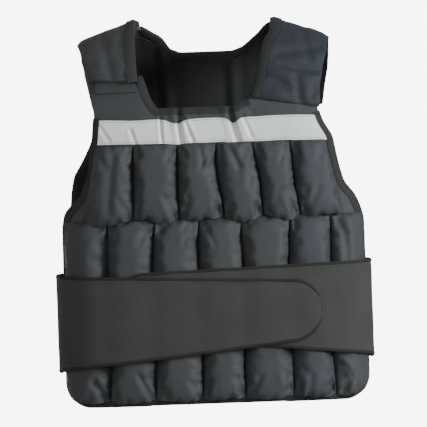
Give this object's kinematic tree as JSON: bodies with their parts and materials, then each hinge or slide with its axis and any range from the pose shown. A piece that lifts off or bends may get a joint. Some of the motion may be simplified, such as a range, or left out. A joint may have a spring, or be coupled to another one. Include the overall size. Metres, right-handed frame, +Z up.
{
  "type": "weighted vest",
  "caption": "Weighted training vest with rows of padded weight pockets, padded shoulder straps, a reflective chest strip and a wide wrap-around belt.",
  "frame": {"origin": "on the centre line, level with the underside of the shoulder straps beside the neck, where the vest sits on the shoulders", "axes": "+Z up, the front faces -Y, +X to the picture's right"},
  "size_m": [0.4358, 0.2278, 0.5375],
  "materials": {
    "shell_nylon": "matt woven nylon",
    "lining_cloth": "matt knitted lining",
    "binding_tape": "matt woven tape",
    "belt_cloth": "matt brushed loop cloth",
    "reflective_tape": "satin glass bead tape"
  },
  "bodies": {
    "root": {"front_panel": "shell_nylon", "back_panel": "shell_nylon", "back_lining": "lining_cloth", "strap_left": "shell_nylon", "strap_right": "shell_nylon", "reflective_strip": "reflective_tape", "pocket_upper_1": "shell_nylon", "pocket_upper_2": "shell_nylon", "pocket_upper_3": "shell_nylon", "pocket_upper_4": "shell_nylon", "pocket_upper_5": "shell_nylon", "pocket_upper_6": "shell_nylon", "pocket_middle_1": "shell_nylon", "pocket_middle_2": "shell_nylon", "pocket_middle_3": "shell_nylon", "pocket_middle_4": "shell_nylon", "pocket_middle_5": "shell_nylon", "pocket_middle_6": "shell_nylon", "pocket_middle_7": "shell_nylon", "pocket_lower_1": "shell_nylon", "pocket_lower_2": "shell_nylon", "pocket_lower_3": "shell_nylon", "pocket_lower_4": "shell_nylon", "pocket_lower_5": "shell_nylon", "pocket_lower_6": "shell_nylon", "pocket_lower_7": "shell_nylon", "belt_left": "belt_cloth", "belt_right": "belt_cloth", "strap_binding_left": "binding_tape", "strap_binding_right": "binding_tape", "neck_binding_front": "binding_tape", "neck_binding_back": "binding_tape", "edge_binding_front": "binding_tape", "edge_binding_back": "binding_tape"}
  },
  "joints": []
}
